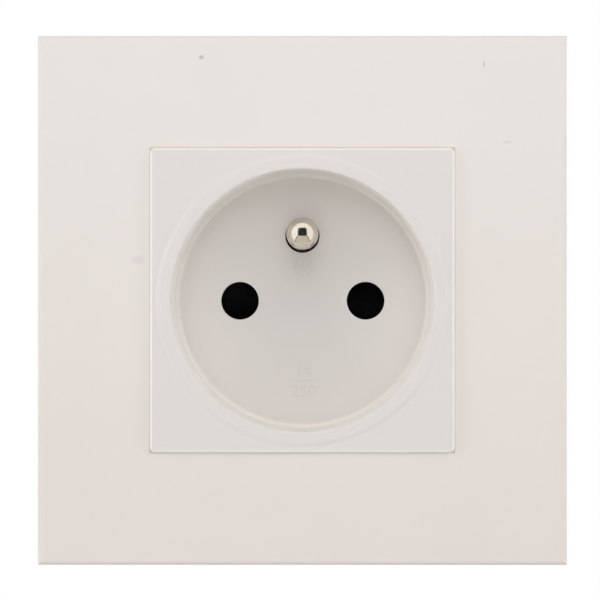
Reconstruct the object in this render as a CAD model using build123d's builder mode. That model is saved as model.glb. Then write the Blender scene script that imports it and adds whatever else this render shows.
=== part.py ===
"""Wall socket with an earth pin, a square module in a square cover frame.

Millimetres. X points right and Z up for someone who faces the wall, and Y points into the wall.
The wall's surface is the plane Y = 0, and the origin is the centre of the cover frame on that plane.
"""
import os
from math import sqrt

from build123d import *

# Cover frame
frame_side = 78.6
frame_depth = 9.0
frame_face_wall = 1.8
frame_edge_wall = 0.8
frame_skirt_wall = 1.8
frame_edge_round = 0.7
frame_collar_wall = 1.2
frame_collar_depth = 6.0
frame_rib_wall = 1.2
frame_rib_depth = 3.5
frame_rib_offset = 15.0
prong_width = 5.0
prong_offset = 9.0
prong_hook = 0.8
prong_lead = 1.8

# Socket insert
insert_step = 0.65
insert_gap = 0.1
insert_corner = 0.8
insert_edge = 0.2
insert_flange = 0.7
insert_flange_gap = 0.2
insert_wall = 2.35
insert_skirt_wall = 1.8
collar_margin = 0.8
collar_land = 2.3
collar_slope = 0.6
collar_height = 0.25
rim_round = 0.35
rim_bevel = 0.1
well_radius = 19.5
well_draft = 0.3
well_depth = 15.0
well_floor_bevel = 0.6
well_wall = 1.5
floor_wall = 2.0
pin_spacing = 19.0
pin_hole_radius = 2.86
earth_hole_gap = 0.2
earth_hole_drop = 0.15
earth_hole_side = 0.06
arm_offset = 11.5
arm_width = 5.0
arm_wall = 1.5
arm_hook = 1.0
arm_lead = 2.2
boss_radius = 2.3
boss_inset = 5.8

# Support frame
support_inset = 3.8
support_corner = 4.0
support_wall = 1.2
support_clearance = 0.15
support_lip_depth = 1.8
support_lip_length = 46.0
fixing_spacing = 60.0
fixing_slot_length = 8.0
fixing_slot_radius = 2.1
prong_clearance = 0.3

# Earth pin
earth_pin_radius = 2.4
earth_pin_inset = 9.5
earth_pin_recess = 1.0
earth_shank_relief = 0.4
earth_collar_radius = 3.0
earth_collar_depth = 1.2
rivet_radius = 1.2
rivet_head_radius = 1.8
rivet_head_depth = 0.8

# Shutter and its carrier
shutter_depth = 2.6
shutter_play = 0.2
shutter_hub_wall = 1.5
shutter_reach = 3.7
shutter_half_angle = 21.0
ramp_inward = 3.2
ramp_outward = 3.1
ramp_step = 0.27
ramp_width = 3.7
ramp_overrun = 1.0
ramp_shallow = 0.6
ramp_deep = 2.2
catch_width = 0.83
post_radius = 2.0
running_clearance = 0.05
carrier_room = 1.0
carrier_corner = 8.0
carrier_wall = 1.6
carrier_rim_wall = 1.3
carrier_pin_clearance = 0.2

# Shutter spring
spring_offset = 1.1
spring_wire = 0.4
spring_angle = 300.0
spring_tail = 3.5
spring_room = 0.8
spring_pocket_depth = 1.4
spring_hole_depth = 0.8
wire_clearance = 0.15

# Contacts
contact_radius = 2.45
contact_wall = 0.6
contact_mouth = 0.3
contact_end_room = 1.0
contact_jaw_length = 6.3
contact_slot = 0.8
contact_gap = 1.0
tab_width = 5.0
tab_wall = 0.8
tab_foot = 3.0
tab_setback = 3.6
clamp_wall = 0.4
clamp_length = 2.4
clamp_slit = 1.4
clamp_setback = 2.1

# Earth strap
strap_width = 6.0
strap_wall = 0.8
strap_skirt = 2.8
strap_end_room = 2.1

# Terminals
block_width = 7.0
block_length = 8.0
block_height = 6.9
block_edge = 0.4
block_column_gap = 0.1
wire_bore_radius = 1.5
wire_bore_inset = 2.6
terminal_screw_radius = 1.6
terminal_head_radius = 2.2
terminal_head_depth = 1.3
terminal_tip_gap = 0.1
thread_clearance = 0.04
driver_slot_width = 0.6
driver_slot_depth = 0.7

# Housing
housing_inset = 1.1
housing_corner = 6.0
housing_play = 0.25
housing_depth = 20.9
housing_wall = 1.6
housing_back_wall = 2.0
housing_edge = 0.8
column_radius = 2.6
stay_width = 3.0
stay_low = 12.0
stay_side = 12.5
stay_side_height = 7.5
pocket_rib_wall = 1.2
pocket_clearance = 0.2
wire_entry_radius = 2.0
driver_clearance = 0.3

# Housing screws
housing_screw_radius = 1.3
housing_head_radius = 2.3
housing_head_depth = 1.5
housing_head_sink = 0.3
housing_screw_length = 27.0
screw_tip_room = 1.0
screw_hole_clearance = 0.15

# Levels along Y, from the front to the back
frame_face = -frame_depth
insert_face = frame_face - insert_step
collar_face = insert_face - collar_height
insert_back = insert_face + insert_wall
flange_face = frame_face + frame_edge_wall
support_face = -support_wall
floor_face = collar_face + well_depth
floor_back = floor_face + floor_wall
shutter_face = floor_back + shutter_play
shutter_back = shutter_face + shutter_depth
carrier_face = shutter_back + shutter_play
carrier_back = carrier_face + carrier_wall
contact_face = carrier_back + contact_gap
strap_face = carrier_back + earth_collar_depth
strap_back = strap_face + strap_wall
rivet_back = strap_back + rivet_head_depth
housing_back = floor_back + housing_depth
housing_inside = housing_back - housing_back_wall
contact_back = housing_inside - contact_end_room
strap_end = housing_inside - strap_end_room
screw_y = housing_inside - block_length / 2
head_seat = housing_inside + housing_head_sink
screw_tip = head_seat - housing_screw_length

# Widths and places that follow from the sizes above
collar_radius = well_radius + collar_land
insert_side = 2 * (collar_radius + collar_margin)
housing_side = insert_side - 2 * housing_inset
frame_opening = insert_side + 2 * insert_gap
support_side = frame_side - 2 * support_inset
pin_x = pin_spacing / 2
earth_pin_height = well_radius - earth_pin_inset
earth_hole_radius = earth_pin_radius + earth_hole_gap
earth_shank_radius = earth_pin_radius - earth_shank_relief
earth_hole_z = earth_pin_height - earth_hole_drop
cup_radius = well_radius + well_wall
well_floor_radius = well_radius - well_draft
support_opening = housing_side + 2 * housing_play
arm_outside = support_opening / 2 - support_clearance
flange_side = insert_side + 2 * insert_flange
frame_rebate = flange_side + 2 * insert_flange_gap
prong_inside = frame_rebate / 2 + frame_collar_wall
prong_outside = prong_inside + frame_collar_wall
housing_inner_side = housing_side - 2 * housing_wall
housing_inner_corner = housing_corner - (2 - sqrt(2)) * housing_wall
block_outside = housing_inner_side / 2
block_inside = block_outside - block_height
wire_bore_z = block_inside + wire_bore_inset
boss_offset = housing_side / 2 - boss_inset
terminal_x = boss_offset - column_radius - block_column_gap - block_width / 2
screw_corners = [(boss_offset, boss_offset), (-boss_offset, -boss_offset)]
ramp_start = pin_x - ramp_inward
ramp_end = pin_x + ramp_outward
shutter_radius = pin_x + shutter_reach
carrier_inner_side = 2 * (shutter_radius + carrier_room)
carrier_side = carrier_inner_side + 2 * carrier_rim_wall
carrier_inner_corner = carrier_corner - (2 - sqrt(2)) * carrier_rim_wall
spring_radius = post_radius + spring_offset
spring_pocket_radius = spring_radius + spring_wire / 2 + spring_room
shutter_hub_radius = spring_pocket_radius + shutter_hub_wall
tail_place = Location((0, 0), spring_angle) * Location((spring_radius, -spring_wire / 2))

os.makedirs("parts", exist_ok=True)


def layer(y):
    """Plane across the socket at depth y, seen from the front. Extrusions grow towards the front."""
    return Plane.XZ.offset(-y)


def turning(x, z):
    """Half plane and axis for a piece that is round about a line along Y through (x, z)."""
    return Plane((x, 0, z), x_dir=(1, 0, 0), z_dir=(0, 0, 1)), Axis((x, 0, z), (0, 1, 0))


def chamfered_square(side, corner, mode=Mode.ADD):
    """Square with its corners cut off, drawn in the open sketch."""
    half = side / 2
    flat = half - corner
    right = [(half, flat), (half, -flat), (flat, -half), (-flat, -half)]
    left = [(-x, -y) for x, y in right]
    Polygon(*right, *left, mode=mode)


def save(piece, name):
    """Label a finished piece and write it as its own node."""
    piece.part.label = name
    export_step(piece.part, f"parts/{name}.step")


# Cover frame, hollow behind, with a rebated opening and a wall and four prongs round it
with BuildPart() as cover_frame:
    with BuildSketch(layer(0)):
        Rectangle(frame_side, frame_side)
    extrude(amount=frame_depth)
    fillet(faces().sort_by(Axis.Y)[0].edges(), radius=frame_edge_round)
    with BuildSketch(layer(0)):
        Rectangle(frame_side - 2 * frame_skirt_wall, frame_side - 2 * frame_skirt_wall)
    extrude(amount=frame_depth - frame_face_wall, mode=Mode.SUBTRACT)
    with BuildSketch(layer(frame_face + frame_collar_depth)):
        Rectangle(2 * prong_inside, 2 * prong_inside)
    extrude(amount=frame_collar_depth - frame_face_wall)
    with BuildSketch(layer(frame_face + frame_face_wall + frame_rib_depth)):
        with Locations((0, frame_rib_offset), (0, -frame_rib_offset)):
            Rectangle(frame_side - frame_skirt_wall, frame_rib_wall)
        with Locations((frame_rib_offset, 0), (-frame_rib_offset, 0)):
            Rectangle(frame_rib_wall, frame_side - frame_skirt_wall)
    extrude(amount=frame_rib_depth)
    for side in (-1, 1):
        for z in (-prong_offset, prong_offset):
            with BuildSketch(Plane.XY.offset(z - prong_width / 2)):
                with BuildLine():
                    Polyline(
                        (side * prong_inside, frame_face + frame_face_wall),
                        (side * prong_outside, frame_face + frame_face_wall),
                        (side * prong_outside, 0),
                        (side * (prong_outside + prong_hook), 0),
                        (side * prong_outside, prong_lead),
                        (side * prong_inside, prong_lead),
                        close=True,
                    )
                make_face()
            extrude(amount=prong_width)
    with BuildSketch(layer(0)):
        Rectangle(frame_rebate, frame_rebate)
    extrude(amount=frame_depth - frame_edge_wall, mode=Mode.SUBTRACT)
    with BuildSketch(layer(0)):
        Rectangle(frame_opening, frame_opening)
    extrude(amount=frame_depth, mode=Mode.SUBTRACT)
save(cover_frame, "cover_frame")

# Socket insert: slab, flange, skirt, raised collar, cup with its flange, screw bosses and clip arms
with BuildPart() as socket_insert:
    with BuildSketch(layer(insert_back)):
        RectangleRounded(insert_side, insert_side, insert_corner)
    extrude(amount=insert_wall)
    chamfer(faces().sort_by(Axis.Y)[0].edges(), length=insert_edge)
    with BuildSketch(layer(insert_back)):
        RectangleRounded(flange_side, flange_side, insert_corner)
    extrude(amount=insert_back - flange_face)
    with BuildSketch(layer(support_face)):
        RectangleRounded(insert_side, insert_side, insert_corner)
        inner_skirt = insert_side - 2 * insert_skirt_wall
        Rectangle(inner_skirt, inner_skirt, mode=Mode.SUBTRACT)
    extrude(amount=support_face - insert_back)
    with BuildSketch(layer(floor_back)):
        chamfered_square(housing_side, housing_corner)
    extrude(amount=floor_wall)
    with BuildSketch(layer(floor_back)):
        Circle(cup_radius)
        with Locations(*screw_corners):
            Circle(boss_radius)
    extrude(amount=floor_back - insert_back)
    for side in (-1, 1):
        for z in (-arm_offset, arm_offset):
            with BuildSketch(Plane.XY.offset(z - arm_width / 2)):
                with BuildLine():
                    Polyline(
                        (side * (arm_outside - arm_wall), insert_back),
                        (side * arm_outside, insert_back),
                        (side * arm_outside, 0),
                        (side * (arm_outside + arm_hook), 0),
                        (side * arm_outside, arm_lead),
                        (side * (arm_outside - arm_wall), arm_lead),
                        close=True,
                    )
                make_face()
            extrude(amount=arm_width)
    with BuildSketch(Plane.XY):
        with BuildLine():
            Polyline(
                (0, insert_face),
                (collar_radius, insert_face),
                (collar_radius - collar_slope, collar_face),
                (0, collar_face),
                close=True,
            )
        make_face()
    revolve(axis=Axis.Y)
    with BuildSketch(Plane.XY):
        with BuildLine():
            Polyline(
                (0, collar_face),
                (well_radius + rim_round, collar_face),
                (well_radius + rim_bevel, collar_face + rim_bevel),
                (well_radius, collar_face + rim_round),
                (well_floor_radius, floor_face),
                (0, floor_face),
                close=True,
            )
        make_face()
        chamfer(vertices().group_by(Axis.Y)[-1].sort_by(Axis.X)[-1], length=well_floor_bevel)
    revolve(axis=Axis.Y, mode=Mode.SUBTRACT)
    with BuildSketch(layer(floor_back)):
        with Locations((pin_x, 0), (-pin_x, 0)):
            Circle(pin_hole_radius)
        with Locations((-earth_hole_side, earth_hole_z)):
            Circle(earth_hole_radius)
    extrude(amount=floor_wall, mode=Mode.SUBTRACT)
    with BuildSketch(layer(floor_back)):
        with Locations(*screw_corners):
            Circle(housing_screw_radius + thread_clearance)
    extrude(amount=floor_back - screw_tip + screw_tip_room, mode=Mode.SUBTRACT)
save(socket_insert, "socket_insert")

# Support frame of sheet steel, with slots for the box screws and lips folded forward
with BuildPart() as support_frame:
    with BuildSketch(layer(0)):
        chamfered_square(support_side, support_corner)
        Rectangle(support_opening, support_opening, mode=Mode.SUBTRACT)
        with Locations((fixing_spacing / 2, 0), (-fixing_spacing / 2, 0)):
            SlotOverall(fixing_slot_length, 2 * fixing_slot_radius, mode=Mode.SUBTRACT)
        with Locations((0, fixing_spacing / 2), (0, -fixing_spacing / 2)):
            SlotOverall(fixing_slot_length, 2 * fixing_slot_radius, rotation=90, mode=Mode.SUBTRACT)
        prong_centre = (prong_inside + prong_outside) / 2
        with GridLocations(2 * prong_centre, 2 * prong_offset, 2, 2):
            Rectangle(
                frame_collar_wall + 2 * prong_clearance,
                prong_width + 2 * prong_clearance,
                mode=Mode.SUBTRACT,
            )
    extrude(amount=support_wall)
    lip_centre = (support_side - support_wall) / 2
    with BuildSketch(layer(support_face)):
        with Locations((0, lip_centre), (0, -lip_centre)):
            Rectangle(support_lip_length, support_wall)
        with Locations((lip_centre, 0), (-lip_centre, 0)):
            Rectangle(support_wall, support_lip_length)
    extrude(amount=support_lip_depth)
save(support_frame, "support_frame")

# Earth pin, put in from behind: domed tip, relieved shank, collar on the carrier, riveted tail
with BuildPart() as earth_pin:
    half_plane, pin_axis = turning(0, earth_pin_height)
    tip = collar_face + earth_pin_recess
    with BuildSketch(half_plane):
        with BuildLine():
            CenterArc((0, tip + earth_pin_radius), earth_pin_radius, -90, 90)
            Polyline(
                (earth_pin_radius, tip + earth_pin_radius),
                (earth_pin_radius, floor_face),
                (earth_shank_radius, floor_face),
                (earth_shank_radius, carrier_back),
                (earth_collar_radius, carrier_back),
                (earth_collar_radius, strap_face),
                (rivet_radius, strap_face),
                (rivet_radius, strap_back),
                (rivet_head_radius, strap_back),
                (rivet_head_radius, rivet_back),
                (0, rivet_back),
                (0, tip),
            )
        make_face()
    revolve(axis=pin_axis)
save(earth_pin, "earth_pin")

# Shutter rotor: hub and two wings, each with a ramp that a plug pin pushes aside
with BuildPart() as shutter:
    with BuildSketch(layer(shutter_back)):
        Circle(shutter_hub_radius)
        for start in (-shutter_half_angle, 180 - shutter_half_angle):
            with BuildLine():
                rim = CenterArc((0, 0), shutter_radius, start, 2 * shutter_half_angle)
                Polyline(rim @ 1, (0, 0), rim @ 0)
            make_face()
    extrude(amount=shutter_depth)
    with BuildSketch(layer(shutter_back)):
        Circle(spring_pocket_radius)
        with Locations((spring_radius, -spring_tail / 2)):
            Rectangle(spring_wire + 2 * wire_clearance, spring_tail)
    extrude(amount=spring_pocket_depth, mode=Mode.SUBTRACT)
    with BuildSketch(layer(shutter_back)):
        Circle(post_radius + running_clearance)
    extrude(amount=shutter_depth, mode=Mode.SUBTRACT)
    for side in (-1, 1):
        ramp_plane = Plane((side * ramp_start, shutter_face, 0), x_dir=(0, 1, 0), z_dir=(side, 0, 0))
        with BuildSketch(ramp_plane):
            with BuildLine():
                Polyline(
                    (0, -ramp_step),
                    (ramp_shallow, -ramp_step),
                    (ramp_deep, ramp_width + ramp_overrun),
                    (0, ramp_width + ramp_overrun),
                    close=True,
                )
            make_face()
        extrude(amount=ramp_end - ramp_start, mode=Mode.SUBTRACT)
        with BuildSketch(ramp_plane):
            with Locations((ramp_shallow / 2, -ramp_step - ramp_width / 2)):
                Rectangle(ramp_shallow, ramp_width)
        extrude(amount=pin_x - catch_width - ramp_start, mode=Mode.SUBTRACT)
save(shutter, "shutter")

# Torsion spring of square wire round the post, one tail in the rotor's notch and one in the carrier
spring_back = shutter_back - (spring_pocket_depth - spring_wire) / 2
with BuildPart() as shutter_spring:
    with BuildSketch(layer(spring_back)):
        with BuildLine():
            outer = CenterArc((0, 0), spring_radius + spring_wire / 2, 0, spring_angle)
            inner = CenterArc((0, 0), spring_radius - spring_wire / 2, 0, spring_angle)
            Line(outer @ 0, inner @ 0)
            Line(outer @ 1, inner @ 1)
        make_face()
        with Locations((spring_radius, -spring_tail / 2)):
            Rectangle(spring_wire, spring_tail)
    extrude(amount=spring_wire)
    with BuildSketch(layer(carrier_face + spring_hole_depth)):
        with Locations(tail_place):
            Rectangle(spring_wire, spring_wire)
    extrude(amount=carrier_face + spring_hole_depth - spring_back)
save(shutter_spring, "shutter_spring")

# Carrier plate: pivot post in front, rim against the insert's floor
with BuildPart() as shutter_carrier:
    with BuildSketch(layer(carrier_back)):
        chamfered_square(carrier_side, carrier_corner)
        with Locations((pin_x, 0), (-pin_x, 0)):
            Circle(pin_hole_radius + carrier_pin_clearance, mode=Mode.SUBTRACT)
        with Locations((0, earth_pin_height)):
            Circle(earth_hole_radius, mode=Mode.SUBTRACT)
    extrude(amount=carrier_wall)
    with BuildSketch(layer(carrier_face + spring_hole_depth)):
        with Locations(tail_place):
            tail_hole = spring_wire + 2 * wire_clearance
            Rectangle(tail_hole, tail_hole)
    extrude(amount=spring_hole_depth, mode=Mode.SUBTRACT)
    with BuildSketch(layer(carrier_face)):
        chamfered_square(carrier_side, carrier_corner)
        chamfered_square(carrier_inner_side, carrier_inner_corner, mode=Mode.SUBTRACT)
        Circle(post_radius)
    extrude(amount=carrier_face - floor_back)
save(shutter_carrier, "shutter_carrier")

# Live and neutral contacts: a slotted round socket with a bent tab on its terminal
for side, name in ((-1, "contact_live"), (1, "contact_neutral")):
    half_plane, contact_axis = turning(side * pin_x, 0)
    jaw_outside = contact_radius + contact_wall
    jaw_back = contact_face + contact_jaw_length
    with BuildPart() as contact:
        with BuildSketch(half_plane):
            with BuildLine():
                Polyline(
                    (contact_radius + contact_mouth, contact_face),
                    (contact_radius, contact_face + contact_mouth),
                    (contact_radius, contact_back - contact_wall),
                    (0, contact_back - contact_wall),
                    (0, contact_back),
                    (jaw_outside, contact_back),
                    (jaw_outside, contact_face),
                    close=True,
                )
            make_face()
        revolve(axis=contact_axis)
        with BuildSketch(layer(jaw_back)):
            with Locations((side * pin_x, 0)):
                Rectangle(4 * jaw_outside, contact_slot)
        extrude(amount=contact_jaw_length, mode=Mode.SUBTRACT)
        tab_back = contact_back - tab_setback
        tab_root = contact_radius + contact_wall / 2
        with BuildSketch(Plane.YZ.offset(side * pin_x - tab_width / 2)):
            with BuildLine():
                Polyline(
                    (tab_back - tab_wall, -tab_root),
                    (tab_back, -tab_root),
                    (tab_back, -block_inside),
                    (tab_back - tab_foot, -block_inside),
                    (tab_back - tab_foot, -block_inside + tab_wall),
                    (tab_back - tab_wall, -block_inside + tab_wall),
                    close=True,
                )
            make_face()
        extrude(amount=tab_width)
    save(contact, name)

# Clamp rings: split steel rings that press the contacts' jaws together
for side, name in ((-1, "clamp_ring_live"), (1, "clamp_ring_neutral")):
    with BuildPart() as clamp_ring:
        clamp_inside = contact_radius + contact_wall + running_clearance
        with BuildSketch(layer(contact_face + clamp_setback + clamp_length)):
            with Locations((side * pin_x, 0)):
                Circle(clamp_inside + clamp_wall)
                Circle(clamp_inside, mode=Mode.SUBTRACT)
            with Locations((side * pin_x, clamp_inside + clamp_wall / 2)):
                Rectangle(clamp_slit, 4 * clamp_wall, mode=Mode.SUBTRACT)
        extrude(amount=clamp_length)
    save(clamp_ring, name)

# Earth strap from the pin's tail to the earth terminal
with BuildPart() as earth_strap:
    with BuildSketch(Plane.YZ.offset(-strap_width / 2)):
        with BuildLine():
            Polyline(
                (strap_face, earth_pin_height - strap_skirt),
                (strap_back, earth_pin_height - strap_skirt),
                (strap_back, block_inside - strap_wall),
                (strap_end, block_inside - strap_wall),
                (strap_end, block_inside),
                (strap_face, block_inside),
                close=True,
            )
        make_face()
    extrude(amount=strap_width)
    with BuildSketch(layer(strap_back)):
        with Locations((0, earth_pin_height)):
            Circle(rivet_radius + thread_clearance)
    extrude(amount=strap_wall, mode=Mode.SUBTRACT)
save(earth_strap, "earth_strap")

# Terminal blocks and their screws: live and neutral at the bottom, earth at the top
for x, side, name in ((-terminal_x, -1, "live"), (terminal_x, -1, "neutral"), (0, 1, "earth")):
    outward = Plane((x, screw_y, side * block_outside), x_dir=(1, 0, 0), z_dir=(0, 0, side))
    with BuildPart() as block:
        with BuildSketch(layer(housing_inside)):
            with Locations((x, side * (block_inside + block_height / 2))):
                Rectangle(block_width, block_height)
        extrude(amount=block_length)
        chamfer(edges().filter_by(Axis.Y), length=block_edge)
        with BuildSketch(layer(housing_inside)):
            with Locations((x, side * wire_bore_z)):
                Circle(wire_bore_radius)
        extrude(amount=block_length, mode=Mode.SUBTRACT)
        with BuildSketch(outward):
            Circle(terminal_screw_radius + thread_clearance)
        extrude(amount=-(block_outside - wire_bore_z), mode=Mode.SUBTRACT)
    save(block, f"terminal_{name}")
    with BuildPart() as terminal_screw:
        with BuildSketch(outward):
            Circle(terminal_head_radius)
        extrude(amount=terminal_head_depth)
        with BuildSketch(outward):
            Circle(terminal_screw_radius)
        extrude(amount=-(block_outside - wire_bore_z - wire_bore_radius - terminal_tip_gap))
        with BuildSketch(outward.offset(terminal_head_depth)):
            Rectangle(2 * terminal_head_radius, driver_slot_width)
        extrude(amount=-driver_slot_depth, mode=Mode.SUBTRACT)
    save(terminal_screw, f"terminal_screw_{name}")

# Housing: box behind the insert, with screw columns, stays, terminal pockets and entries
with BuildPart() as housing:
    with BuildSketch(layer(housing_back)):
        chamfered_square(housing_side, housing_corner)
    extrude(amount=housing_depth)
    chamfer(faces().sort_by(Axis.Y)[-1].edges(), length=housing_edge)
    with BuildSketch(layer(housing_inside)):
        chamfered_square(housing_inner_side, housing_inner_corner)
    extrude(amount=housing_inside - floor_back, mode=Mode.SUBTRACT)
    with BuildSketch(layer(housing_inside)):
        with Locations(*screw_corners):
            Circle(column_radius)
    extrude(amount=housing_inside - floor_back)
    with BuildSketch(layer(housing_inside)):
        with Locations((0, -stay_low), (stay_side, stay_side_height), (-stay_side, stay_side_height)):
            Rectangle(stay_width, stay_width)
    extrude(amount=housing_inside - carrier_back)
    with BuildSketch(layer(housing_inside)):
        with Locations((0, earth_pin_height)):
            Rectangle(stay_width, stay_width)
    extrude(amount=housing_inside - rivet_back)
    with BuildSketch(layer(housing_inside)):
        rib_step = block_width / 2 + pocket_clearance + pocket_rib_wall / 2
        rib_z = block_inside + block_height / 2
        lower_rib_x = terminal_x - rib_step
        with Locations((lower_rib_x, -rib_z), (-lower_rib_x, -rib_z), (rib_step, rib_z), (-rib_step, rib_z)):
            Rectangle(pocket_rib_wall, block_height)
    extrude(amount=block_length)
    with BuildSketch(layer(housing_back)):
        with Locations((-terminal_x, -wire_bore_z), (terminal_x, -wire_bore_z), (0, wire_bore_z)):
            Circle(wire_entry_radius)
    extrude(amount=housing_back_wall, mode=Mode.SUBTRACT)
    with BuildSketch(layer(housing_back)):
        with Locations(*screw_corners):
            Circle(housing_screw_radius + screw_hole_clearance)
    extrude(amount=housing_depth, mode=Mode.SUBTRACT)
    with BuildSketch(layer(housing_back)):
        with Locations(*screw_corners):
            Circle(housing_head_radius + driver_clearance)
    extrude(amount=housing_back - head_seat, mode=Mode.SUBTRACT)
    for x, side in ((-terminal_x, -1), (terminal_x, -1), (0, 1)):
        with BuildSketch(Plane((x, screw_y, side * block_outside), x_dir=(1, 0, 0), z_dir=(0, 0, side))):
            Circle(terminal_head_radius + driver_clearance)
        extrude(amount=housing_wall, mode=Mode.SUBTRACT)
save(housing, "housing")

# Housing screws, from behind through the columns into the insert's bosses
for (x, z), name in zip(screw_corners, ("housing_screw_upper", "housing_screw_lower")):
    with BuildPart() as housing_screw:
        with BuildSketch(layer(head_seat + housing_head_depth)):
            with Locations((x, z)):
                Circle(housing_head_radius)
        extrude(amount=housing_head_depth)
        with BuildSketch(layer(head_seat)):
            with Locations((x, z)):
                Circle(housing_screw_radius)
        extrude(amount=housing_screw_length)
        with BuildSketch(layer(head_seat + housing_head_depth)):
            with Locations((x, z)):
                Rectangle(2 * housing_head_radius, driver_slot_width, rotation=45)
        extrude(amount=driver_slot_depth, mode=Mode.SUBTRACT)
    save(housing_screw, name)
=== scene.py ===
"""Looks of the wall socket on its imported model: materials, recess marks, light and camera."""

import math

import bmesh
import bpy
from mathutils import Matrix, Vector


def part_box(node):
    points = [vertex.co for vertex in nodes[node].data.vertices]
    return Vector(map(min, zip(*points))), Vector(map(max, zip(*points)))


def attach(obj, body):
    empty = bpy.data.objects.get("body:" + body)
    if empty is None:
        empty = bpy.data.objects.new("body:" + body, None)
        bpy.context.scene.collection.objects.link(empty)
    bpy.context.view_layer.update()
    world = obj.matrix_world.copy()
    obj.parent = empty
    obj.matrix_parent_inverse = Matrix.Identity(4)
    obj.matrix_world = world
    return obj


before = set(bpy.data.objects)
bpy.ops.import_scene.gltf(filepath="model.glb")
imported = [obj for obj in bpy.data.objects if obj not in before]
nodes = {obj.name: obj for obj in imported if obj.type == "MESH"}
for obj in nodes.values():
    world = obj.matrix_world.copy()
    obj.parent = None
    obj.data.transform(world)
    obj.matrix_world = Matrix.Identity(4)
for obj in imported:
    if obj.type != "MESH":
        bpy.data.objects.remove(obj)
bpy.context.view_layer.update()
MM = 0.001

# Sizes of the model that its boxes don't give, in metres
FLOOR_THICKNESS = 2.0 * MM
INSERT_STEP = 0.65 * MM
FLANGE_OVERHANG = 0.7 * MM
INSERT_GAP = 0.1 * MM
WELL_RADIUS = 19.5 * MM

# Levels and half widths, in metres
insert_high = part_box("socket_insert")[1]
floor_face = insert_high.y - FLOOR_THICKNESS
plate_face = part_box("cover_frame")[0].y
insert_face = plate_face - INSERT_STEP
insert_half = insert_high.z - FLANGE_OVERHANG
opening_half = insert_half + INSERT_GAP

# Colours of the painted highlight on the insert's edge, of the painted light on its recess wall,
# of the painted shade in the gap round the insert and on its lip, and of the painted shade
# that the plate's colour is multiplied by low down
EDGE_HIGHLIGHT_COLOUR = (0.99, 0.975, 0.94)
WALL_LIGHT_COLOUR = (0.985, 0.948, 0.910)
GAP_SHADE_COLOUR = (0.94, 0.84, 0.60)
LIP_SHADE_COLOUR = (0.82, 0.70, 0.53)
LIP_SHADE_DARK = (0.79, 0.67, 0.50)
LOW_SHADE_TINT = (0.972, 0.960, 0.943)

# Soft border of a spot as a share of its radius
SPOT_SOFTNESS = 0.4

# Studio floor, in metres, and how bright it looks by itself to the camera
FLOOR_DROP = 0.25
FLOOR_REACH = 1.6
FLOOR_GLOW = 0.45


def node(tree, kind, inputs=None, **settings):
    """Adds a node, applies its settings, and sets or links its inputs by name or number."""
    made = tree.nodes.new(kind)
    for key, value in settings.items():
        setattr(made, key, value)
    for key, value in (inputs or {}).items():
        if isinstance(value, bpy.types.NodeSocket):
            tree.links.new(value, made.inputs[key])
        else:
            made.inputs[key].default_value = value
    return made


def maths(tree, operation, a, b=0.0):
    """One math node's value."""
    return node(tree, "ShaderNodeMath", {0: a, 1: b}, operation=operation).outputs[0]


def noise(tree, place, scale, detail=3.0, stretch=None):
    """Noise value at a place, with an optional stretch of the place along each axis."""
    if stretch:
        mapping = node(tree, "ShaderNodeMapping", {"Vector": place, "Scale": stretch})
        place = mapping.outputs[0]
    inputs = {"Vector": place, "Scale": scale, "Detail": detail}
    return node(tree, "ShaderNodeTexNoise", inputs).outputs[0]


def smooth(tree, value, low, high, to_low=0.0, to_high=1.0):
    """Value mapped smoothly from low..high to to_low..to_high."""
    inputs = {0: value, 1: low, 2: high, 3: to_low, 4: to_high}
    return node(tree, "ShaderNodeMapRange", inputs, interpolation_type="SMOOTHSTEP").outputs[0]


def blend(tree, factor, a, b, mode="MIX"):
    """Colour a mixed with colour b."""
    mixer = node(tree, "ShaderNodeMix", {"Factor": factor}, data_type="RGBA", blend_type=mode)
    for key, colour in ((6, a), (7, b)):
        if isinstance(colour, bpy.types.NodeSocket):
            tree.links.new(colour, mixer.inputs[key])
        else:
            mixer.inputs[key].default_value = (*colour, 1)
    return mixer.outputs[2]


def start_material(name):
    """A new material's tree, its shader and the place on the object in metres."""
    material = bpy.data.materials.new(name)
    material.use_nodes = True
    tree = material.node_tree
    shader = tree.nodes["Principled BSDF"]
    place = node(tree, "ShaderNodeTexCoord").outputs["Object"]
    return material, tree, shader, place


def add_bump(tree, shader, height, distance):
    """Bump of the given height field on the shader."""
    bump = node(tree, "ShaderNodeBump", {"Height": height, "Distance": distance, "Strength": 1.0})
    tree.links.new(bump.outputs[0], shader.inputs["Normal"])


def spot(tree, place, centre, radii):
    """1 inside a soft ellipse seen along Y, and 0 outside it. Centre and radii in millimetres."""
    split = node(tree, "ShaderNodeSeparateXYZ", {0: place})
    terms = []
    for axis, middle, radius in ((0, centre[0], radii[0]), (2, centre[1], radii[1])):
        offset = maths(tree, "SUBTRACT", split.outputs[axis], middle * MM)
        terms.append(maths(tree, "POWER", maths(tree, "DIVIDE", offset, radius * MM), 2.0))
    distance = maths(tree, "SQRT", maths(tree, "ADD", *terms))
    return smooth(tree, distance, 1 - SPOT_SOFTNESS, 1 + SPOT_SOFTNESS, 1.0, 0.0)


def square_distance(tree, place):
    """Distance from the Y axis measured square, the larger of |x| and |z|, and the place's y."""
    split = node(tree, "ShaderNodeSeparateXYZ", {0: place})
    across = maths(tree, "ABSOLUTE", split.outputs[0])
    up = maths(tree, "ABSOLUTE", split.outputs[2])
    return maths(tree, "MAXIMUM", across, up), split.outputs[1]


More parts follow.
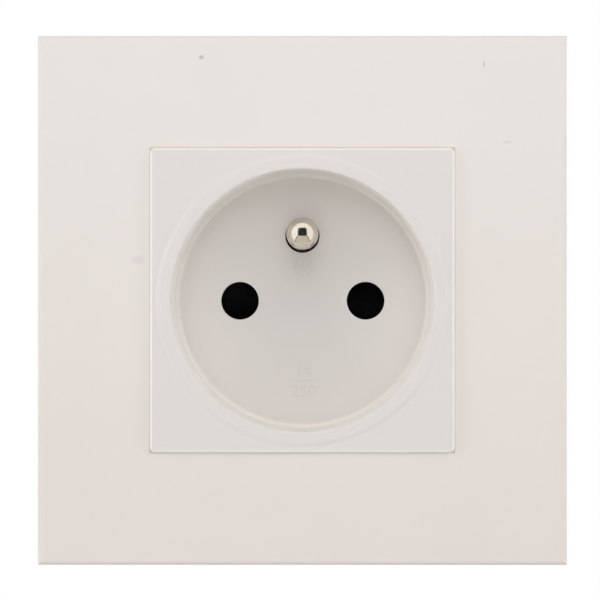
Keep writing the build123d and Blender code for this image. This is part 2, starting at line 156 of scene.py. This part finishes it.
def moulded_plastic(name, colour, dark, roughness, grain=2200.0, relief=0.006, gloss=0.45):
    """Moulding with faint clouds in its colour, uneven gloss and a fine spark-eroded grain."""
    material, tree, shader, place = start_material(name)
    clouds = noise(tree, place, 55.0, 4.0)
    base = blend(tree, smooth(tree, clouds, 0.3, 0.7), colour, dark)
    speckle = noise(tree, place, grain, 2.0)
    shine = noise(tree, place, 180.0, 3.0)
    uneven = smooth(tree, shine, 0.3, 0.7, roughness - 0.04, roughness + 0.05)
    tree.links.new(uneven, shader.inputs["Roughness"])
    shader.inputs["Specular IOR Level"].default_value = gloss
    add_bump(tree, shader, speckle, relief * MM)
    tree.links.new(base, shader.inputs["Base Color"])
    return material, tree, shader, place, base


def frame_plastic():
    """The cover frame's plastic: painted shade low down and on the opening's wall in the gap, with
    four small marks.
    """
    material, tree, shader, place, base = moulded_plastic(
        "frame_plastic", (0.920, 0.866, 0.832), (0.910, 0.854, 0.820), 0.36
    )
    # Painted shade: the plate's colour is darkened towards the bottom
    height = node(tree, "ShaderNodeSeparateXYZ", {0: place}).outputs[2]
    low = smooth(tree, height, -40 * MM, 40 * MM, 1.0, 0.0)
    base = blend(tree, low, base, LOW_SHADE_TINT, "MULTIPLY")
    # Painted shade: the opening's wall in the gap takes the tan gap shade colour
    square, depth = square_distance(tree, place)
    wall = smooth(tree, square, opening_half + 0.01 * MM, opening_half + 0.03 * MM, 1.0, 0.0)
    inside = smooth(tree, depth, plate_face + 0.01 * MM, plate_face + 0.03 * MM)
    base = blend(tree, maths(tree, "MULTIPLY", wall, inside), base, GAP_SHADE_COLOUR)
    marks = (
        ((-15.0, 36.1), (0.35, 0.3), (0.35, 0.30, 0.27), 0.5),
        ((27.0, 35.1), (0.12, 0.5), (0.55, 0.52, 0.50), 0.6),
        ((30.4, 23.5), (0.6, 0.18), (0.70, 0.52, 0.45), 0.35),
        ((-24.4, 6.0), (0.9, 0.6), (0.66, 0.62, 0.58), 0.25),
    )
    for centre, radii, colour, strength in marks:
        factor = maths(tree, "MULTIPLY", spot(tree, place, centre, radii), strength)
        base = blend(tree, factor, base, colour)
    tree.links.new(base, shader.inputs["Base Color"])
    return material


def insert_plastic():
    """The insert's plastic: darker than the frame's, with a painted highlight on its edge, painted
    light on its recess wall and painted shade on its side in the gap.
    """
    material, tree, shader, place, base = moulded_plastic(
        "insert_plastic", (0.850, 0.816, 0.790), (0.840, 0.805, 0.778), 0.33
    )
    square, depth = square_distance(tree, place)
    axes = (1.0, 0.0, 1.0)
    flat = node(tree, "ShaderNodeVectorMath", {0: place, 1: axes}, operation="MULTIPLY").outputs[0]
    radius = node(tree, "ShaderNodeVectorMath", {0: flat}, operation="LENGTH").outputs["Value"]
    # Painted light: the recess wall is lightened
    wall = smooth(tree, radius, WELL_RADIUS - 1.1 * MM, WELL_RADIUS - 0.7 * MM)
    deep = smooth(tree, depth, insert_face + 0.1 * MM, insert_face + 0.5 * MM)
    base = blend(tree, maths(tree, "MULTIPLY", wall, deep), base, WALL_LIGHT_COLOUR)
    # Painted highlight: a band along the insert's outer edge near its face is lightened
    outer = smooth(tree, square, insert_half - 0.34 * MM, insert_half - 0.22 * MM)
    front = smooth(tree, depth, plate_face + 0.6 * MM, plate_face + 0.8 * MM, 1.0, 0.0)
    outer = maths(tree, "MULTIPLY", outer, front)
    base = blend(tree, outer, base, EDGE_HIGHLIGHT_COLOUR)
    # Painted shade: the insert's side in the gap takes the tan gap shade colour
    below = smooth(tree, depth, plate_face + 0.02 * MM, plate_face + 0.06 * MM)
    base = blend(tree, maths(tree, "MULTIPLY", outer, below), base, GAP_SHADE_COLOUR)
    tree.links.new(base, shader.inputs["Base Color"])
    return material


def matt_plastic(name, colour, dark, roughness, gloss=0.45):
    """Plain moulded plastic of the inner and rear pieces."""
    return moulded_plastic(name, colour, dark, roughness, 900.0, 0.012, gloss)[0]


def metal(name, colour, dark, roughness, stretch, relief):
    """Metal with uneven tarnish and fine lines along the axis whose stretch is below 1."""
    material, tree, shader, place = start_material(name)
    lines = noise(tree, place, 1500.0, 4.0, stretch)
    tarnish = noise(tree, place, 300.0, 4.0)
    base = blend(tree, smooth(tree, tarnish, 0.35, 0.7), colour, dark)
    tree.links.new(base, shader.inputs["Base Color"])
    shader.inputs["Metallic"].default_value = 1.0
    uneven = smooth(tree, lines, 0.3, 0.7, roughness - 0.03, roughness + 0.06)
    tree.links.new(uneven, shader.inputs["Roughness"])
    add_bump(tree, shader, lines, relief * MM)
    return material


def zinc_sheet():
    """Zinc-plated sheet steel: faint spangle cells under fine rolling lines."""
    material, tree, shader, place = start_material("support_steel")
    cells = node(tree, "ShaderNodeTexVoronoi", {"Vector": place, "Scale": 260.0}).outputs["Color"]
    level = node(tree, "ShaderNodeSeparateColor", {0: cells}).outputs[0]
    rolling = noise(tree, place, 700.0, 3.0, (1.0, 1.0, 0.04))
    base = blend(tree, level, (0.60, 0.61, 0.62), (0.70, 0.71, 0.72))
    tree.links.new(base, shader.inputs["Base Color"])
    shader.inputs["Metallic"].default_value = 1.0
    uneven = smooth(tree, maths(tree, "ADD", level, rolling), 0.4, 1.6, 0.26, 0.42)
    tree.links.new(uneven, shader.inputs["Roughness"])
    add_bump(tree, shader, rolling, 0.004 * MM)
    return material


def paint(material, *names):
    """Puts one material on CAD nodes."""
    for name in names:
        nodes[name].data.materials.clear()
        nodes[name].data.materials.append(material)


def mesh_piece(name, shape, material):
    """A mesh made from a bmesh, riding on the socket's fixed body."""
    mesh = bpy.data.meshes.new(name)
    shape.to_mesh(mesh)
    shape.free()
    piece = bpy.data.objects.new(name, mesh)
    bpy.context.scene.collection.objects.link(piece)
    mesh.materials.append(material)
    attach(piece, "socket")


def raised_bar(shape, centre, size, level, height):
    """A flat bar standing out to the front. Centre and size in millimetres, the rest in metres."""
    x, z = centre
    middle = Vector((x * MM, level - height / 2, z * MM))
    scale = Matrix.Diagonal((size[0] * MM, height, size[1] * MM, 1))
    bmesh.ops.create_cube(shape, size=1.0, matrix=Matrix.Translation(middle) @ scale)


def closed_strip(shape, *outlines):
    """Skin over outlines with equally many points, the last one joined to the first."""
    rows = [[shape.verts.new(point) for point in outline] for outline in outlines]
    for a, b in zip(rows, rows[1:] + rows[:1]):
        for i in range(len(a)):
            j = (i + 1) % len(a)
            shape.faces.new((a[i], a[j], b[j], b[i]))
    bmesh.ops.recalc_face_normals(shape, faces=shape.faces)


def circle(centre, radius, level, steps=48):
    """Points of a circle across the Y axis. Centre and radius in millimetres, level in metres."""
    points = []
    for i in range(steps):
        angle = 2 * math.pi * i / steps
        x = (centre[0] + radius * math.cos(angle)) * MM
        z = (centre[1] + radius * math.sin(angle)) * MM
        points.append((x, level, z))
    return points


def rounded_square(half, corner, level, steps=8):
    """Points of a square with rounded corners across the Y axis, all in metres."""
    points = []
    for quarter, (across, up) in enumerate(((1, 1), (-1, 1), (-1, -1), (1, -1))):
        for step in range(steps + 1):
            angle = math.radians(90 * (quarter + step / steps))
            x = across * (half - corner) + corner * math.cos(angle)
            z = up * (half - corner) + corner * math.sin(angle)
            points.append((x, level, z))
    return points


def raised_ring(shape, centre, radius, width, level, height):
    """A flat ring standing out to the front, with the units of raised_bar."""
    closed_strip(
        shape,
        circle(centre, radius, level),
        circle(centre, radius, level - height),
        circle(centre, radius - width, level - height),
        circle(centre, radius - width, level),
    )


def earth_symbol(name, centre, size, level, height, material, slot):
    """Earth symbol in a circle: a stem over three bars."""
    shape = bmesh.new()
    x, z = centre
    line = size * 0.07
    raised_ring(shape, centre, size / 2, line, level, height)
    raised_bar(shape, (x, z + size * 0.19), (line, size * 0.30), level, height)
    for drop, width in ((0.0, 0.56), (0.14, 0.38), (0.28, 0.20)):
        raised_bar(shape, (x, z + size * (0.03 - drop)), (size * width, line), level, height)
    mesh_piece(name, shape, material)


def lettering(name, text, centre, size, level, height, material, slot):
    """Plain raised characters facing the front. Size is their height in millimetres."""
    curve = bpy.data.curves.new(name, "FONT")
    curve.body = text
    curve.size = size * FONT_SIZE_PER_HEIGHT
    curve.align_x = "CENTER"
    curve.align_y = "CENTER"
    curve.resolution_u = 3
    text_object = bpy.data.objects.new(name + "_text", curve)
    mesh = bpy.data.meshes.new_from_object(text_object)
    bpy.data.objects.remove(text_object)
    shape = bmesh.new()
    shape.from_mesh(mesh)
    bpy.data.meshes.remove(mesh)
    bmesh.ops.remove_doubles(shape, verts=shape.verts, dist=1e-5)
    solid = bmesh.ops.extrude_face_region(shape, geom=shape.faces[:])
    top = [v for v in solid["geom"] if isinstance(v, bmesh.types.BMVert)]
    bmesh.ops.translate(shape, verts=top, vec=(0, 0, height / MM))
    bmesh.ops.recalc_face_normals(shape, faces=shape.faces)
    x, z = centre
    turn = Matrix(((1, 0, 0, x), (0, 0, -1, level / MM), (0, 1, 0, z), (0, 0, 0, 1)))
    shape.transform(Matrix.Scale(MM, 4) @ turn)
    mesh_piece(name, shape, material)


# Materials and the nodes that wear them
frame_white = frame_plastic()
insert_white = insert_plastic()
mark_white = matt_plastic("mark_white", (0.815, 0.780, 0.755), (0.80, 0.765, 0.74), 0.40)
housing_grey = matt_plastic("housing_grey", (0.62, 0.61, 0.59), (0.58, 0.57, 0.55), 0.48)
shutter_black = matt_plastic(
    "shutter_black", (0.0022, 0.0021, 0.0023), (0.0036, 0.0034, 0.0036), 0.55, 0.05
)
carrier_black = matt_plastic(
    "carrier_black", (0.0020, 0.0019, 0.0020), (0.0032, 0.0030, 0.0032), 0.60, 0.04
)
nickel = metal(
    "pin_nickel", (0.74, 0.70, 0.63), (0.66, 0.61, 0.53), 0.10, (1.0, 0.05, 1.0), 0.0012
)
brass = metal(
    "contact_brass", (0.80, 0.61, 0.30), (0.66, 0.47, 0.20), 0.26, (0.06, 1.0, 1.0), 0.003
)
sawn_brass = metal(
    "terminal_brass", (0.77, 0.60, 0.32), (0.62, 0.45, 0.20), 0.32, (1.0, 0.08, 1.0), 0.006
)
spring_steel = metal(
    "spring_steel", (0.42, 0.42, 0.43), (0.30, 0.29, 0.29), 0.22, (1.0, 0.05, 1.0), 0.002
)
screw_steel = metal(
    "screw_steel", (0.72, 0.69, 0.58), (0.60, 0.57, 0.50), 0.25, (0.1, 1.0, 1.0), 0.003
)

paint(frame_white, "cover_frame")
paint(insert_white, "socket_insert")
paint(zinc_sheet(), "support_frame")
paint(nickel, "earth_pin")
paint(shutter_black, "shutter")
paint(carrier_black, "shutter_carrier")
paint(spring_steel, "shutter_spring", "clamp_ring_live", "clamp_ring_neutral")
paint(brass, "contact_live", "contact_neutral", "earth_strap")
paint(sawn_brass, "terminal_live", "terminal_neutral", "terminal_earth")
paint(housing_grey, "housing")
paint(
    screw_steel,
    "terminal_screw_live",
    "terminal_screw_neutral",
    "terminal_screw_earth",
    "housing_screw_upper",
    "housing_screw_lower",
)

# Low raised marks on the floor of the recess
MARK_HEIGHT = 0.04 * MM
LETTER_SIZE = 1.9
FONT_SIZE_PER_HEIGHT = 1.35
recess_mark = (floor_face, MARK_HEIGHT, mark_white, "insert_plastic")
earth_symbol("recess_earth_mark", (0.1, 5.15), 2.85, *recess_mark)
lettering("recess_current", "16", (0.1, -10.4), LETTER_SIZE, *recess_mark)
lettering("recess_voltage", "250", (0.1, -13.75), LETTER_SIZE, *recess_mark)
bar = bmesh.new()
raised_bar(bar, (0.0, -12.05), (4.0, 0.14), floor_face, MARK_HEIGHT)
mesh_piece("recess_bar", bar, mark_white)

# Thin lip that closes the gap between the insert and the cover frame, coloured tan as painted shade
# of that gap
LIP_OUTER = opening_half - 0.005 * MM
LIP_INNER = insert_half - 0.05 * MM
LIP_FACE = plate_face + 0.12 * MM
LIP_BACK = plate_face + 0.40 * MM
OUTER_CORNER = 0.05 * MM
INNER_CORNER = 0.75 * MM
lip = bmesh.new()
closed_strip(
    lip,
    rounded_square(LIP_OUTER, OUTER_CORNER, LIP_BACK),
    rounded_square(LIP_OUTER, OUTER_CORNER, LIP_FACE),
    rounded_square(LIP_INNER, INNER_CORNER, LIP_FACE),
    rounded_square(LIP_INNER, INNER_CORNER, LIP_BACK),
)
# Painted shade: the lip's tan colour stands in for the shade in the gap
lip_painted_shade = matt_plastic("lip_painted_shade", LIP_SHADE_COLOUR, LIP_SHADE_DARK, 0.45)
mesh_piece("gap_shade_lip", lip, lip_painted_shade)

# Floor under the socket
floor_mesh = bmesh.new()
bmesh.ops.create_grid(floor_mesh, x_segments=1, y_segments=1, size=FLOOR_REACH)
floor_data = bpy.data.meshes.new("studio_floor")
floor_mesh.to_mesh(floor_data)
floor_mesh.free()
floor = bpy.data.objects.new("studio_floor", floor_data)
floor.location = (0, 0, -FLOOR_DROP)
bpy.context.scene.collection.objects.link(floor)
floor_paper, tree, shader, place = start_material("studio_paper")
paper = blend(tree, noise(tree, place, 3.0), (0.86, 0.86, 0.85), (0.88, 0.88, 0.87))
tree.links.new(paper, shader.inputs["Base Color"])
shader.inputs["Roughness"].default_value = 0.9
shader.inputs["Emission Color"].default_value = (1, 1, 1, 1)
seen_directly = node(tree, "ShaderNodeLightPath").outputs["Is Camera Ray"]
glow = maths(tree, "MULTIPLY", seen_directly, FLOOR_GLOW)
tree.links.new(glow, shader.inputs["Emission Strength"])
floor_data.materials.append(floor_paper)
floor.visible_glossy = False


def soft_box(name, place, width, height, share):
    """Area light aimed at the socket. Share is the part of a white plate's level that it gives."""
    light = bpy.data.lights.new(name, "AREA")
    light.shape = "RECTANGLE"
    light.size = width
    light.size_y = height
    source = Vector(place)
    distance = source.length
    facing = -source.y / distance
    light.energy = share * math.pi ** 2 * distance ** 2 / facing
    lamp = bpy.data.objects.new(name, light)
    lamp.location = source
    lamp.rotation_euler = source.to_track_quat("Z", "Y").to_euler()
    lamp.visible_glossy = False
    lamp.visible_camera = False
    bpy.context.scene.collection.objects.link(lamp)


# Soft boxes: three from above down to the front, one at the camera and one far out on each side
soft_box("soft_box_above", (0.0, -0.20, 0.38), 0.30, 0.15, 0.041)
soft_box("soft_box_slanted", (0.0, -0.32, 0.32), 0.30, 0.15, 0.083)
soft_box("soft_box_high", (0.0, -0.50, 0.18), 0.26, 0.13, 0.086)
soft_box("soft_box_front", (0.0, -0.85, 0.0), 0.35, 0.35, 0.110)
soft_box("soft_box_left", (-0.85, -0.31, 0.0), 0.30, 0.50, 0.088)
soft_box("soft_box_right", (0.85, -0.31, 0.0), 0.30, 0.50, 0.076)

# Slopes of the tent's front opening and of the folds below it, against the way to the camera
OPENING_SIDE = 0.66
OPENING_UP = 0.87
OPENING_DOWN = 0.34
FOLD_SIDE = 1.14
FOLD_FRONT = 0.41
TENT_LOW = (0.74, 0.68, 0.60)
TENT_HIGH = (1.20, 1.18, 1.14)
TENT_SEAM = (0.20, 0.17, 0.13)
TENT_OPENING = (0.03, 0.03, 0.03)

# Where the tent's opening, folds and seams change over, and how far up the seams go
OPENING_EDGE = (0.95, 1.05)
FOLD_EDGE = (-0.03, 0.03)
SEAM_EDGE = (0.045, 0.085)
SEAM_TOP = (-0.26, -0.20)

# Soft light from all round, and from straight below
LIGHT_AROUND = (0.344, 0.344, 0.344)
LIGHT_BELOW = (1.25, 1.25, 1.25)

# World: white to the camera, a soft light that is stronger from low down, and a tent in reflections
world = bpy.data.worlds.new("studio_tent")
bpy.context.scene.world = world
world.use_nodes = True
tree = world.node_tree
tree.nodes.clear()
direction = node(tree, "ShaderNodeTexCoord").outputs["Generated"]
split = node(tree, "ShaderNodeSeparateXYZ", {0: direction})
across, away, up = split.outputs[0], split.outputs[1], split.outputs[2]
fall = maths(tree, "MAXIMUM", maths(tree, "MULTIPLY", up, -1.0), 0.0)
soft_light = blend(tree, fall, LIGHT_AROUND, LIGHT_BELOW)
front = maths(tree, "MAXIMUM", maths(tree, "MULTIPLY", away, -1.0), 0.0001)
aside = maths(tree, "ABSOLUTE", across)
side_slope = maths(tree, "DIVIDE", aside, maths(tree, "MULTIPLY", front, OPENING_SIDE))
up_slope = maths(tree, "DIVIDE", up, maths(tree, "MULTIPLY", front, OPENING_UP))
down_slope = maths(tree, "DIVIDE", up, maths(tree, "MULTIPLY", front, -OPENING_DOWN))
edge = maths(tree, "MAXIMUM", side_slope, maths(tree, "MAXIMUM", up_slope, down_slope))
opening = smooth(tree, edge, *OPENING_EDGE, 1.0, 0.0)
lean = maths(tree, "SUBTRACT", up, maths(tree, "MULTIPLY", front, FOLD_FRONT))
fold = maths(tree, "ADD", maths(tree, "MULTIPLY", aside, FOLD_SIDE), lean)
ground = smooth(tree, fold, *FOLD_EDGE, 1.0, 0.0)
seam = smooth(tree, maths(tree, "ABSOLUTE", fold), *SEAM_EDGE, 1.0, 0.0)
tent = blend(tree, ground, TENT_HIGH, TENT_LOW)
below = smooth(tree, up, *SEAM_TOP, 1.0, 0.0)
tent = blend(tree, maths(tree, "MULTIPLY", seam, below), tent, TENT_SEAM)
tent = blend(tree, opening, tent, TENT_OPENING)
rays = node(tree, "ShaderNodeLightPath")
seen = blend(tree, rays.outputs["Is Glossy Ray"], soft_light, tent)
seen = blend(tree, rays.outputs["Is Camera Ray"], seen, (1.0, 1.0, 1.0))
background = node(tree, "ShaderNodeBackground", {"Color": seen, "Strength": 1.0})
node(tree, "ShaderNodeOutputWorld", {0: background.outputs[0]})

# Camera in front of the cover frame, a little right of and below its middle
CAMERA_DISTANCE = 750 * MM
CAMERA_RIGHT = 4.0 * MM
CAMERA_DOWN = 3.0 * MM
SEEN_WIDTH = 89.1 * MM
SENSOR_WIDTH = 36.0
FRAME_PIXELS = 600
SHIFT_RIGHT, SHIFT_DOWN = 2.3, 0.35
camera_data = bpy.data.cameras.new("camera")
camera_data.sensor_width = SENSOR_WIDTH
camera_data.lens = SENSOR_WIDTH * CAMERA_DISTANCE / SEEN_WIDTH
camera_data.shift_x = -SHIFT_RIGHT / FRAME_PIXELS
camera_data.shift_y = SHIFT_DOWN / FRAME_PIXELS
camera = bpy.data.objects.new("camera", camera_data)
camera.location = (CAMERA_RIGHT, plate_face - CAMERA_DISTANCE, -CAMERA_DOWN)
aim = Vector((0, plate_face, 0)) - camera.location
camera.rotation_euler = aim.to_track_quat("-Z", "Y").to_euler()
bpy.context.scene.collection.objects.link(camera)
bpy.context.scene.camera = camera
bpy.context.scene.view_settings.view_transform = "Standard"
